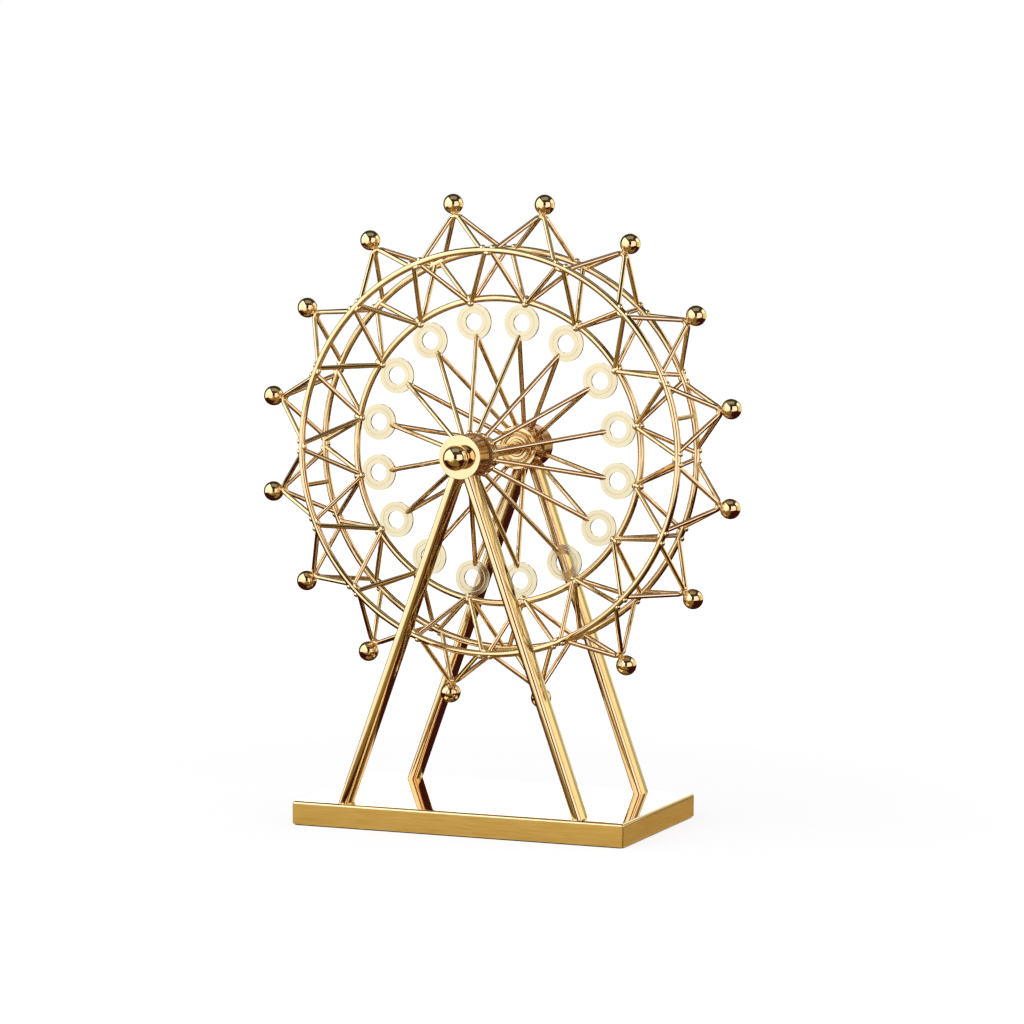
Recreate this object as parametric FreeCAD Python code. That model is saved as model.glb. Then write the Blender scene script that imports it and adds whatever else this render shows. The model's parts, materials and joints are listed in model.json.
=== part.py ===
import FreeCAD, Part
import math
import os

# A desk ferris wheel: a gilt wire wheel on ball bearings, between two A-shaped side frames on a low base.
# The origin is the centre of the felt's underside, where the base rests. +X is right, -Y is the front, +Z is up.
# All sizes are millimetres. A radial size of the wheel is measured from its axle.

os.makedirs("parts", exist_ok=True)

# Base: a folded sheet cover, a board inside it and a felt under it
BASE_WIDTH = 207.0
BASE_DEPTH = 124.0
BASE_HEIGHT = 14.1
SHEET = 1.2
SHEET_BEND = 1.6
CORNER_BEND = 1.4
SEAM_SLIT = 0.6
FELT_THICKNESS = 1.5
FELT_PROUD = 0.7
FELT_INSET = 1.5
FELT_CORNER = 4.0

# Side frames
AXLE_HEIGHT = 219.5
FRAME_GAP = 89.4
DRUM_DIAMETER = 25.6
DRUM_LENGTH = 13.8
DRUM_CHAMFER = 0.4
FOOT_REACH = 73.15
LEG_WIDTH = 6.2
LEG_EDGE = 1.2
TENON_WIDTH = 2.6
TENON_DEPTH = 8.0
TENON_LENGTH = 6.0

# Axle, its ball nuts, and the wheel's two bearings
AXLE_DIAMETER = 7.0
STUD_DIAMETER = 6.0
STUD_LENGTH = 7.5
NUT_DIAMETER = 14.8
NUT_FLAT_DIAMETER = 9.0
BEARING_OUTSIDE = 19.0
BEARING_WIDTH = 6.0
RACE_INNER_DIAMETER = 10.8
RACE_OUTER_DIAMETER = 16.2
BALL_DIAMETER = 3.5
BALL_COUNT = 7
SHIELD_THICKNESS = 0.35
SHIELD_INSET = 0.25
SPACER_DIAMETER = 10.0

# Hub drums of the wheel
HUB_GAP = 60.0
HUB_DRUM_LENGTH = 9.0
HUB_BORE_DIAMETER = 12.0

# Wire wheel
SECTORS = 16
THIN_WIRE = 2.8
RING_WIRE = 4.0
INNER_RING_RADIUS = 89.8
WEB_DEPTH = 28.4
RIM_GAP = 33.8
TIP_REACH = 29.1
TIP_BALL_DIAMETER = 12.0
TIP_BEND_RADIUS = 3.2
TIP_LEG_SETBACK = 3.9
SPOKE_WELD_INSET = 2.0
SPOKE_WELD_RADIUS = 9.6
RUNG_STEPS = (3, 11)

# Ring discs
DISC_DIAMETER = 21.4
DISC_HOLE = 10.4
DISC_THICKNESS = 1.5
DISC_GROOVE_WIDTH = 0.5
DISC_GROOVE_DEPTH = 0.2

# Clearances
WELD_GAP = 0.05
SLIP_FIT = 0.05
BOARD_PLAY = 0.3
SLOT_PLAY = 0.15
WIRE_PLAY = 0.1
SHIELD_PLAY = 0.2

# Places that follow from the sizes above
SECTOR_ANGLE = 360.0 / SECTORS
HALF_SECTOR = SECTOR_ANGLE / 2.0
FRAME_INNER = FRAME_GAP / 2.0
FRAME_OUTER = FRAME_INNER + DRUM_LENGTH
FRAME_MIDDLE = (FRAME_INNER + FRAME_OUTER) / 2.0
DRUM_RADIUS = DRUM_DIAMETER / 2.0
HUB_INNER = HUB_GAP / 2.0
HUB_OUTER = HUB_INNER + HUB_DRUM_LENGTH
SEAT_END = HUB_INNER + BEARING_WIDTH
RIM_RADIUS = INNER_RING_RADIUS + WEB_DEPTH
RIM_PLACE = RIM_GAP / 2.0
TIP_RADIUS = RIM_RADIUS + TIP_REACH
DISC_CENTRE = INNER_RING_RADIUS - RING_WIRE / 2.0 - WELD_GAP - DISC_DIAMETER / 2.0
DISC_BAND_MIDDLE = (DISC_DIAMETER + DISC_HOLE) / 4.0

ORIGIN = FreeCAD.Vector(0, 0, 0)
AXLE_CENTRE = FreeCAD.Vector(0, 0, AXLE_HEIGHT)
ACROSS = FreeCAD.Vector(1, 0, 0)
ALONG_AXLE = FreeCAD.Vector(0, 1, 0)
UP = FreeCAD.Vector(0, 0, 1)
FAR = 1000.0


def save(name, shape):
    shape.exportStep("parts/" + name + ".step")


def group(solids):
    return Part.makeCompound(solids)


def front_to_back(shape):
    return shape.mirror(ORIGIN, ALONG_AXLE)


def left_to_right(shape):
    return shape.mirror(ORIGIN, ACROSS)


def box_between(low, high):
    size = high - low
    return Part.makeBox(size.x, size.y, size.z, low)


# ---------------------------------------------------------------- base

def base_cover():
    """Sheet folded down on four sides: soft bends along the top and at the corners, which have an open slit."""
    outer = box_between(
        FreeCAD.Vector(-BASE_WIDTH / 2, -BASE_DEPTH / 2, FELT_PROUD),
        FreeCAD.Vector(BASE_WIDTH / 2, BASE_DEPTH / 2, BASE_HEIGHT),
    )
    upright = [e for e in outer.Edges if e.BoundBox.ZLength > SHEET_BEND]
    outer = outer.makeFillet(CORNER_BEND, upright)
    top_edges = [e for e in outer.Edges if e.BoundBox.ZMin > BASE_HEIGHT - 0.01]
    outer = outer.makeFillet(SHEET_BEND, top_edges)
    hollow = box_between(
        FreeCAD.Vector(-BASE_WIDTH / 2 + SHEET, -BASE_DEPTH / 2 + SHEET, FELT_PROUD - SHEET),
        FreeCAD.Vector(BASE_WIDTH / 2 - SHEET, BASE_DEPTH / 2 - SHEET, BASE_HEIGHT - SHEET),
    )
    inner_edges = [e for e in hollow.Edges if e.BoundBox.ZMin > BASE_HEIGHT - SHEET - 0.01]
    hollow = hollow.makeFillet(max(SHEET_BEND - SHEET, 0.2), inner_edges)
    cover = outer.cut(hollow)
    for slit in corner_slits():
        cover = cover.cut(slit)
    for slot in tenon_spaces():
        cover = cover.cut(slot)
    return cover


def corner_slits():
    """Mitred gaps between neighbouring side flanges, from the open rim up to the bend."""
    height = BASE_HEIGHT - SHEET_BEND - FELT_PROUD
    slits = []
    for side_x in (-1, 1):
        for side_y in (-1, 1):
            corner = FreeCAD.Vector(side_x * BASE_WIDTH / 2, side_y * BASE_DEPTH / 2, FELT_PROUD)
            slit = Part.makeBox(
                4 * SHEET, SEAM_SLIT, height, FreeCAD.Vector(-2 * SHEET, -SEAM_SLIT / 2, 0)
            )
            slit.rotate(ORIGIN, UP, 45 * side_x * side_y)
            slit.translate(corner)
            slits.append(slit)
    return slits


def tenon_box(play):
    """The front right leg's tenon, or with play added the slot that it goes through."""
    low = FreeCAD.Vector(
        FOOT_REACH - TENON_WIDTH / 2 - play,
        -FRAME_MIDDLE - TENON_DEPTH / 2 - play,
        BASE_HEIGHT - TENON_LENGTH - play,
    )
    high = FreeCAD.Vector(
        FOOT_REACH + TENON_WIDTH / 2 + play,
        -FRAME_MIDDLE + TENON_DEPTH / 2 + play,
        BASE_HEIGHT + LEG_WIDTH,
    )
    return box_between(low, high)


def tenon_spaces():
    front_right = tenon_box(SLOT_PLAY)
    front = [front_right, left_to_right(front_right)]
    return front + [front_to_back(space) for space in front]


def base_board():
    """Fibre board that fills the cover, with a pocket under each leg."""
    edge = SHEET + BOARD_PLAY
    board = box_between(
        FreeCAD.Vector(-BASE_WIDTH / 2 + edge, -BASE_DEPTH / 2 + edge, FELT_THICKNESS),
        FreeCAD.Vector(BASE_WIDTH / 2 - edge, BASE_DEPTH / 2 - edge, BASE_HEIGHT - SHEET - WELD_GAP),
    )
    top_edges = [e for e in board.Edges if e.BoundBox.ZMin > BASE_HEIGHT - 2 * SHEET]
    board = board.makeFillet(SHEET_BEND - SHEET, top_edges) if SHEET_BEND > SHEET else board
    for pocket in tenon_spaces():
        board = board.cut(pocket)
    return board


def base_felt():
    edge = SHEET + FELT_INSET
    felt = box_between(
        FreeCAD.Vector(-BASE_WIDTH / 2 + edge, -BASE_DEPTH / 2 + edge, 0),
        FreeCAD.Vector(BASE_WIDTH / 2 - edge, BASE_DEPTH / 2 - edge, FELT_THICKNESS),
    )
    upright = [e for e in felt.Edges if e.BoundBox.ZLength > FELT_THICKNESS / 2]
    return felt.makeFillet(FELT_CORNER, upright)


# ---------------------------------------------------------------- side frames

def leg():
    """The front right leg: a bar aimed at the axle, cut to the drum above and to the base below, with a tenon."""
    rise = AXLE_HEIGHT - BASE_HEIGHT
    length = math.hypot(rise, FOOT_REACH)
    lean = math.degrees(math.atan2(FOOT_REACH, rise))
    bar = Part.makeBox(
        LEG_WIDTH,
        DRUM_LENGTH,
        length + LEG_WIDTH,
        FreeCAD.Vector(-LEG_WIDTH / 2, -FRAME_OUTER, AXLE_HEIGHT - length - LEG_WIDTH),
    )
    long_edges = [e for e in bar.Edges if e.BoundBox.ZLength > length]
    bar = bar.makeFillet(LEG_EDGE, long_edges)
    bar.rotate(AXLE_CENTRE, ALONG_AXLE, -lean)
    below = box_between(
        FreeCAD.Vector(-FAR, -FAR, -FAR), FreeCAD.Vector(FAR, FAR, BASE_HEIGHT + WELD_GAP)
    )
    drum_space = disc_about_axle(DRUM_RADIUS + WELD_GAP, -FRAME_OUTER - LEG_WIDTH, -FRAME_INNER + LEG_WIDTH)
    bar = bar.cut(below).cut(drum_space)
    tenon = tenon_box(0).common(tenon_root())
    return bar.fuse(tenon).removeSplitter()


def tenon_root():
    """Everything below the middle of the leg's lowest stretch, so that the tenon ends inside the bar."""
    return box_between(
        FreeCAD.Vector(-FAR, -FAR, -FAR), FreeCAD.Vector(FAR, FAR, BASE_HEIGHT + LEG_WIDTH / 4)
    )


def disc_about_axle(radius, start, end):
    return Part.makeCylinder(radius, end - start, FreeCAD.Vector(0, start, AXLE_HEIGHT), ALONG_AXLE)


def turned(outline):
    """A solid of revolution about the axle, from (place along Y, radius) pairs."""
    points = [FreeCAD.Vector(0, place, AXLE_HEIGHT + radius) for place, radius in outline]
    face = Part.Face(Part.makePolygon(points + points[:1]))
    return face.revolve(AXLE_CENTRE, ALONG_AXLE, 360)


def frame_drum():
    """The front boss that both legs of a side frame meet, bored for the axle."""
    bore = AXLE_DIAMETER / 2 + SLIP_FIT
    return turned([
        (-FRAME_OUTER, bore),
        (-FRAME_OUTER, DRUM_RADIUS - DRUM_CHAMFER),
        (-FRAME_OUTER + DRUM_CHAMFER, DRUM_RADIUS),
        (-FRAME_INNER - DRUM_CHAMFER, DRUM_RADIUS),
        (-FRAME_INNER, DRUM_RADIUS - DRUM_CHAMFER),
        (-FRAME_INNER, bore),
    ])


def axle():
    """A plain rod with a threaded stud at each end. The shoulders stop just inside the drums, so the nuts clamp."""
    shoulder = FRAME_OUTER - DRUM_CHAMFER
    end = FRAME_OUTER + STUD_LENGTH
    radius = AXLE_DIAMETER / 2
    stud = STUD_DIAMETER / 2
    return turned([
        (-end, 0),
        (-end, stud - DRUM_CHAMFER),
        (-end + DRUM_CHAMFER, stud),
        (-shoulder, stud),
        (-shoulder, radius),
        (shoulder, radius),
        (shoulder, stud),
        (end - DRUM_CHAMFER, stud),
        (end, stud - DRUM_CHAMFER),
        (end, 0),
    ])


def ball_nut():
    """The front ball nut, with a flat that bears on the drum and a blind hole for the stud."""
    radius = NUT_DIAMETER / 2
    flat = NUT_FLAT_DIAMETER / 2
    centre = -FRAME_OUTER - WELD_GAP - math.sqrt(radius ** 2 - flat ** 2)
    ball = Part.makeSphere(radius, FreeCAD.Vector(0, centre, AXLE_HEIGHT))
    seat = disc_about_axle(NUT_DIAMETER, -FRAME_OUTER - WELD_GAP, 0)
    hole = disc_about_axle(STUD_DIAMETER / 2 + SLIP_FIT, -FRAME_OUTER - STUD_LENGTH - DRUM_CHAMFER, 0)
    return ball.cut(seat).cut(hole)


# ---------------------------------------------------------------- hub and bearings

def hub_drum():
    """The front hub drum: the bearing is pressed in from the inner face against a shoulder."""
    seat = BEARING_OUTSIDE / 2 + SLIP_FIT
    bore = HUB_BORE_DIAMETER / 2
    return turned([
        (-HUB_OUTER, bore),
        (-HUB_OUTER, DRUM_RADIUS - DRUM_CHAMFER),
        (-HUB_OUTER + DRUM_CHAMFER, DRUM_RADIUS),
        (-HUB_INNER - DRUM_CHAMFER, DRUM_RADIUS),
        (-HUB_INNER, DRUM_RADIUS - DRUM_CHAMFER),
        (-HUB_INNER, seat),
        (-SEAT_END - WELD_GAP, seat),
        (-SEAT_END - WELD_GAP, bore),
    ])


def ball_track():
    """The ring that the front bearing's balls sweep, a little larger than the balls."""
    pitch = (RACE_INNER_DIAMETER + RACE_OUTER_DIAMETER) / 4
    middle = FreeCAD.Vector(0, -HUB_INNER - BEARING_WIDTH / 2, AXLE_HEIGHT)
    return Part.makeTorus(pitch, BALL_DIAMETER / 2 + SLIP_FIT, middle, ALONG_AXLE)


def bearing_inner_ring():
    bore = AXLE_DIAMETER / 2 + SLIP_FIT
    land = RACE_INNER_DIAMETER / 2
    ring = turned([(-SEAT_END, bore), (-SEAT_END, land), (-HUB_INNER, land), (-HUB_INNER, bore)])
    return ring.cut(ball_track())


def bearing_outer_ring():
    outside = BEARING_OUTSIDE / 2
    land = RACE_OUTER_DIAMETER / 2
    ring = turned([(-SEAT_END, land), (-SEAT_END, outside), (-HUB_INNER, outside), (-HUB_INNER, land)])
    return ring.cut(ball_track())


def bearing_balls():
    pitch = (RACE_INNER_DIAMETER + RACE_OUTER_DIAMETER) / 4
    ball = Part.makeSphere(
        BALL_DIAMETER / 2,
        FreeCAD.Vector(0, -HUB_INNER - BEARING_WIDTH / 2, AXLE_HEIGHT + pitch),
    )
    return around_axle(ball, [360.0 * n / BALL_COUNT for n in range(BALL_COUNT)])


def bearing_shields():
    """Two thin washers held in the outer ring, which close the gap between the rings."""
    inside = RACE_INNER_DIAMETER / 2 + SHIELD_PLAY
    outside = RACE_OUTER_DIAMETER / 2 - WELD_GAP
    shields = []
    for start in (-SEAT_END + SHIELD_INSET, -HUB_INNER - SHIELD_INSET - SHIELD_THICKNESS):
        end = start + SHIELD_THICKNESS
        shields.append(turned([(start, inside), (start, outside), (end, outside), (end, inside)]))
    return shields


def spacer():
    """Sleeve on the axle from the front bearing's inner ring to the front frame drum."""
    bore = AXLE_DIAMETER / 2 + SLIP_FIT
    outside = SPACER_DIAMETER / 2
    near = -SEAT_END - WELD_GAP
    far = -FRAME_INNER + WELD_GAP
    return turned([(far, bore), (far, outside), (near, outside), (near, bore)])


# ---------------------------------------------------------------- wire wheel

def around_axle(shape, angles):
    """Copies of a shape turned about the axle. A positive angle moves the top to the right."""
    copies = []
    for angle in angles:
        copy = shape.copy()
        copy.rotate(AXLE_CENTRE, ALONG_AXLE, angle)
        copies.append(copy)
    return copies


def sector_angles():
    return [HALF_SECTOR + SECTOR_ANGLE * n for n in range(SECTORS)]


def at(sideways, along, radial):
    """A point of the sector that stands straight up from the axle."""
    return FreeCAD.Vector(sideways, along, AXLE_HEIGHT + radial)


def on_circle(radius, angle, along):
    return at(radius * math.sin(math.radians(angle)), along, radius * math.cos(math.radians(angle)))


def rod(start, end, diameter):
    return Part.makeCylinder(diameter / 2, (end - start).Length, start, end - start)


def wire_ring(radius, along, extra=0.0):
    middle = FreeCAD.Vector(0, along, AXLE_HEIGHT)
    return Part.makeTorus(radius, RING_WIRE / 2 + extra, middle, ALONG_AXLE)


def spoke():
    """A front spoke: its outer end is cut flush with the disc's face and its inner end follows the hub drum."""
    weld = DISC_CENTRE - SPOKE_WELD_RADIUS
    drum_end = at(0, -HUB_OUTER + SPOKE_WELD_INSET, DRUM_RADIUS)
    disc_end = at(0, -DISC_THICKNESS / 2 - WELD_GAP, weld)
    overrun = (disc_end - drum_end).normalize() * (2 * THIN_WIRE)
    wire = rod(drum_end - overrun, disc_end + overrun, THIN_WIRE)
    behind_face = box_between(
        FreeCAD.Vector(-FAR, -DISC_THICKNESS / 2 - WELD_GAP, -FAR), FreeCAD.Vector(FAR, FAR, FAR)
    )
    drum_space = disc_about_axle(DRUM_RADIUS + WELD_GAP, -FRAME_OUTER, 0)
    return wire.cut(behind_face).cut(drum_space)


def web_strut():
    """The front right strut of a sector, from the inner ring out to the front rim's node."""
    spread = THIN_WIRE / 2 + 2 * WIRE_PLAY
    spread_angle = math.degrees(spread / RIM_RADIUS)
    start = at(spread, -THIN_WIRE / 2 - WIRE_PLAY, INNER_RING_RADIUS)
    end = on_circle(RIM_RADIUS, HALF_SECTOR - spread_angle, -RIM_PLACE)
    wire = rod(start, end, THIN_WIRE)
    wire = wire.cut(wire_ring(INNER_RING_RADIUS, 0, WELD_GAP))
    return wire.cut(wire_ring(RIM_RADIUS, -RIM_PLACE, WELD_GAP))


def sector_struts():
    right = web_strut()
    front = [right, left_to_right(right)]
    return front + [front_to_back(strut) for strut in front]


def tip_vee():
    """The front vee of a sector: one wire bent round under the tip ball, with both legs down on the front rim."""
    beside = THIN_WIRE / 2 + WIRE_PLAY / 2
    reach = TIP_BALL_DIAMETER / 2 + THIN_WIRE / 2 + WELD_GAP
    apex = at(0, -beside, TIP_RADIUS - math.sqrt(reach ** 2 - beside ** 2))
    foot_angle = HALF_SECTOR - math.degrees(TIP_LEG_SETBACK / RIM_RADIUS)
    foot = on_circle(RIM_RADIUS, foot_angle, -RIM_PLACE)
    feet_middle = FreeCAD.Vector(0, foot.y, foot.z)
    outward = (apex - feet_middle).normalize()
    centre = apex - outward * TIP_BEND_RADIUS
    to_foot = foot - centre
    swing = math.acos(TIP_BEND_RADIUS / to_foot.Length)
    tilt = math.atan2(to_foot.dot(outward), to_foot.dot(ACROSS)) + swing
    touch = centre + (ACROSS * math.cos(tilt) + outward * math.sin(tilt)) * TIP_BEND_RADIUS
    other_touch = FreeCAD.Vector(-touch.x, touch.y, touch.z)
    other_foot = FreeCAD.Vector(-foot.x, foot.y, foot.z)
    path = Part.Wire([
        Part.LineSegment(foot, touch).toShape(),
        Part.Arc(touch, apex, other_touch).toShape(),
        Part.LineSegment(other_touch, other_foot).toShape(),
    ])
    section = Part.Wire(Part.makeCircle(THIN_WIRE / 2, foot, touch - foot))
    wire = path.makePipeShell([section], True, False)
    return wire.cut(wire_ring(RIM_RADIUS, -RIM_PLACE, WELD_GAP))


def tip_ball():
    return Part.makeSphere(TIP_BALL_DIAMETER / 2, at(0, 0, TIP_RADIUS))


def ring_disc():
    """A flat washer in the wheel's middle plane, hung inside the inner ring, with a ring line on each face."""
    middle = at(0, 0, DISC_CENTRE)
    start = middle - ALONG_AXLE * (DISC_THICKNESS / 2)
    disc = Part.makeCylinder(DISC_DIAMETER / 2, DISC_THICKNESS, start, ALONG_AXLE)
    disc = disc.cut(Part.makeCylinder(DISC_HOLE / 2, DISC_THICKNESS, start, ALONG_AXLE))
    line_radius = DISC_BAND_MIDDLE + DISC_GROOVE_WIDTH / 2
    for face in (-DISC_THICKNESS / 2, DISC_THICKNESS / 2 - DISC_GROOVE_DEPTH):
        floor = middle + ALONG_AXLE * face
        line = Part.makeCylinder(line_radius, DISC_GROOVE_DEPTH, floor, ALONG_AXLE)
        line = line.cut(
            Part.makeCylinder(line_radius - DISC_GROOVE_WIDTH, DISC_GROOVE_DEPTH, floor, ALONG_AXLE)
        )
        disc = disc.cut(line)
    return disc


def rungs():
    """Short wires straight across between the two rims."""
    rung = rod(at(0, -RIM_PLACE, RIM_RADIUS), at(0, RIM_PLACE, RIM_RADIUS), THIN_WIRE)
    for side in (-RIM_PLACE, RIM_PLACE):
        rung = rung.cut(wire_ring(RIM_RADIUS, side, WELD_GAP))
    return around_axle(rung, [HALF_SECTOR + SECTOR_ANGLE * step for step in RUNG_STEPS])


# ---------------------------------------------------------------- the pieces

def save_base():
    save("base_cover", base_cover())
    save("base_board", base_board())
    save("base_felt", base_felt())


def save_frames():
    front_right = leg()
    front_left = left_to_right(front_right)
    save("leg_front_right", front_right)
    save("leg_front_left", front_left)
    save("leg_back_right", front_to_back(front_right))
    save("leg_back_left", front_to_back(front_left))
    save("frame_drum_front", frame_drum())
    save("frame_drum_back", front_to_back(frame_drum()))


def save_axle():
    save("axle", axle())
    save("ball_nut_front", ball_nut())
    save("ball_nut_back", front_to_back(ball_nut()))
    save("axle_spacers", group([spacer(), front_to_back(spacer())]))


def save_hub():
    save("hub_drum_front", hub_drum())
    save("hub_drum_back", front_to_back(hub_drum()))
    for name, solids in (
        ("bearing_inner_rings", [bearing_inner_ring()]),
        ("bearing_outer_rings", [bearing_outer_ring()]),
        ("bearing_balls", bearing_balls()),
        ("bearing_shields", bearing_shields()),
    ):
        save(name, group(solids + [front_to_back(solid) for solid in solids]))


def save_wheel():
    save("inner_ring", wire_ring(INNER_RING_RADIUS, 0))
    save("rim_front", wire_ring(RIM_RADIUS, -RIM_PLACE))
    save("rim_back", wire_ring(RIM_RADIUS, RIM_PLACE))
    save("rim_rungs", group(rungs()))
    angles = sector_angles()
    front_spokes = around_axle(spoke(), angles)
    save("spokes_front", group(front_spokes))
    save("spokes_back", group([front_to_back(wire) for wire in front_spokes]))
    struts = [copy for strut in sector_struts() for copy in around_axle(strut, angles)]
    save("web_struts", group(struts))
    front_vees = around_axle(tip_vee(), angles)
    save("tip_vees_front", group(front_vees))
    save("tip_vees_back", group([front_to_back(wire) for wire in front_vees]))
    for number, ball in enumerate(around_axle(tip_ball(), angles), 1):
        save("tip_ball_%02d" % number, ball)
    for number, disc in enumerate(around_axle(ring_disc(), angles), 1):
        save("ring_disc_%02d" % number, disc)


save_base()
save_frames()
save_axle()
save_hub()
save_wheel()
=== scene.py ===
# %% [markdown]
# # A gilt desk ferris wheel
#
# The real thing is a desk ornament of about 37 cm. A wheel of gilt wire turns on ball bearings between two
# A-shaped side frames that stand on a low box of folded sheet. This lesson builds its finished pieces on top of
# the measured model. First come the model and its measures, then the gilding, the wheel, the hub, the frames, the
# base, and at the end the light and the camera.

import json
import math

import bpy
from mathutils import Matrix, Vector


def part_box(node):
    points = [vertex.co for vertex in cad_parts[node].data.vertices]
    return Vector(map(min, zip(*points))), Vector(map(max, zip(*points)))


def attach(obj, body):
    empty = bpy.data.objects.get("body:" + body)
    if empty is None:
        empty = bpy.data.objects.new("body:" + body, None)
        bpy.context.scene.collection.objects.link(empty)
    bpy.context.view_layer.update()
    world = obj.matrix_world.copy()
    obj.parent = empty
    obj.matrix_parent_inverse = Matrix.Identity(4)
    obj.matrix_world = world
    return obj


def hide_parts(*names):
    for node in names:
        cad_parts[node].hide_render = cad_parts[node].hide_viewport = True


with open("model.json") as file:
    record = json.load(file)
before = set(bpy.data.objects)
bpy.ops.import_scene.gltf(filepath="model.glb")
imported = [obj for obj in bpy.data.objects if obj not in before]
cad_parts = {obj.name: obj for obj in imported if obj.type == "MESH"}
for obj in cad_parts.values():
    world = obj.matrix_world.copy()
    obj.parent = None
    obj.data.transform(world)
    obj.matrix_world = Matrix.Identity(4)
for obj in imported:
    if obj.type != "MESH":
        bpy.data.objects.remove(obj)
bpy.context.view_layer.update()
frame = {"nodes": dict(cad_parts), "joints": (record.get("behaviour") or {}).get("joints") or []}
nodes = frame["nodes"]

# %% [markdown]
# ## Measures
#
# The main sizes are read from the measured nodes, so a new piece lands exactly where the old one is, and the
# smaller ones are given. A wire ring's box gives the wire's thickness (the box is that deep) and the ring's radius.
# The wheel's centre is the joint it turns on. Angles start at the top of the wheel and grow clockwise for someone
# who stands in front.

# %% Read the measures
mm = 0.001
axle = Vector(frame["joints"][0]["pos_m"])
sectors = len([name for name in nodes if name.startswith("tip_ball_")])
sector_angle = math.tau / sectors
half_sector = sector_angle / 2


def half_size(node):
    low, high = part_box(node)
    return (high - low) / 2


def middle(node):
    low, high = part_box(node)
    return (high + low) / 2


ring_wire = half_size("inner_ring").y
inner_ring_radius = half_size("inner_ring").x - ring_wire
rim_radius = half_size("rim_front").x - ring_wire
rim_place = middle("rim_back").y
thin_wire = 1.4 * mm
ball_radius = half_size("tip_ball_01").y
tip_radius = (middle("tip_ball_01") - axle).length
disc_radius = half_size("ring_disc_01").x
disc_thickness = 2 * half_size("ring_disc_01").y
disc_centre = (middle("ring_disc_01") - axle).length
drum_radius = half_size("hub_drum_front").x
hub_outer = -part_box("hub_drum_front")[0].y
hub_inner = -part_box("hub_drum_front")[1].y
frame_outer = -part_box("frame_drum_front")[0].y
frame_inner = -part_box("frame_drum_front")[1].y
base_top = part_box("base_cover")[1].z
print(f"rim radius {rim_radius / mm:.1f} mm, tips at {tip_radius / mm:.1f} mm, {sectors} sectors")


# %% [markdown]
# ## Small helpers
#
# An operator acts on all that is selected, so each piece starts with nothing selected. A finished piece keeps its
# place in its mesh and its object at the origin, as the measured nodes do, so that patterns sit still on it.

# %% Helpers for modelling
def at(sideways, along, radial):
    """A point of the sector that stands straight up from the axle."""
    return axle + Vector((sideways, along, radial))


def on_circle(radius, angle, along):
    return at(radius * math.sin(angle), along, radius * math.cos(angle))


def edit(selected="DESELECT"):
    bpy.ops.object.mode_set(mode="EDIT")
    bpy.ops.mesh.select_mode(type="VERT")
    bpy.ops.mesh.select_all(action=selected)


def done():
    """Back to object mode, with the piece's place moved into its mesh."""
    bpy.ops.object.mode_set(mode="OBJECT")
    piece = bpy.context.object
    bpy.ops.object.select_all(action="DESELECT")
    piece.select_set(True)
    bpy.ops.object.transform_apply(location=True, rotation=True, scale=True)
    return piece


def nothing_selected():
    if bpy.context.object and bpy.context.object.mode != "OBJECT":
        bpy.ops.object.mode_set(mode="OBJECT")
    bpy.ops.object.select_all(action="DESELECT")


def pick(kind, test):
    """Selects the edges or faces of the piece being edited whose middle and direction pass the test."""
    piece = bpy.context.object
    bpy.ops.mesh.select_all(action="DESELECT")
    bpy.ops.mesh.select_mode(type=kind)
    bpy.ops.object.mode_set(mode="OBJECT")
    mesh = piece.data
    if kind == "FACE":
        for face in mesh.polygons:
            face.select = test(piece.matrix_world @ face.center, piece.matrix_world.to_3x3() @ face.normal)
    else:
        for line in mesh.edges:
            ends = [piece.matrix_world @ mesh.vertices[v].co for v in line.vertices]
            line.select = test((ends[0] + ends[1]) / 2, (ends[1] - ends[0]).normalized())
    bpy.ops.object.mode_set(mode="EDIT")


def facing(start, end):
    """The turn that brings +Z onto the way from start to end."""
    return (end - start).to_track_quat("Z", "Y").to_euler()


def turned_copy(pattern, angle):
    """A copy with its own mesh, turned about the axle. A positive angle moves the top to the right."""
    copy = pattern.copy()
    copy.data = pattern.data.copy()
    bpy.context.collection.objects.link(copy)
    turn = Matrix.Translation(axle) @ Matrix.Rotation(angle, 4, "Y") @ Matrix.Translation(-axle)
    copy.data.transform(turn)
    return copy


def to_the_back(pattern):
    """A mirrored copy on the other side of the wheel's middle plane, with its faces turned outwards again."""
    copy = pattern.copy()
    copy.data = pattern.data.copy()
    bpy.context.collection.objects.link(copy)
    copy.data.transform(Matrix.Scale(-1, 4, Vector((0, 1, 0))))
    copy.data.flip_normals()
    return copy


def around(pattern, angles):
    copies = [turned_copy(pattern, angle) for angle in angles]
    bpy.data.objects.remove(pattern)
    return copies


def joined(pieces, name):
    nothing_selected()
    for piece in pieces:
        piece.select_set(True)
    bpy.context.view_layer.objects.active = pieces[0]
    bpy.ops.object.join()
    pieces[0].name = name
    return pieces[0]


def smooth(piece, angle=40):
    """Smooth shading that leaves the large flat faces flat: they weigh more than the bevels beside them."""
    nothing_selected()
    piece.select_set(True)
    bpy.context.view_layer.objects.active = piece
    bpy.ops.object.shade_smooth_by_angle(angle=math.radians(angle))
    flat_faces = piece.modifiers.new("flat_faces", "WEIGHTED_NORMAL")
    flat_faces.keep_sharp = True
    flat_faces.weight = 100
    bpy.ops.object.modifier_apply(modifier=flat_faces.name)
    return piece


sector_angles = [half_sector + sector_angle * n for n in range(sectors)]


def finish_piece(piece, body, slot, material, *replaced):
    """Smooths a piece, gives it its finish and its body, and lets it stand for the measured nodes named."""
    smooth(piece)
    piece.data.materials.clear()
    piece.data.materials.append(material)
    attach(piece, body)
    if replaced:
        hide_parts(*replaced)
    print(f"{piece.name}: {len(piece.data.polygons)} faces on the {body}")
    return piece

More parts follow.
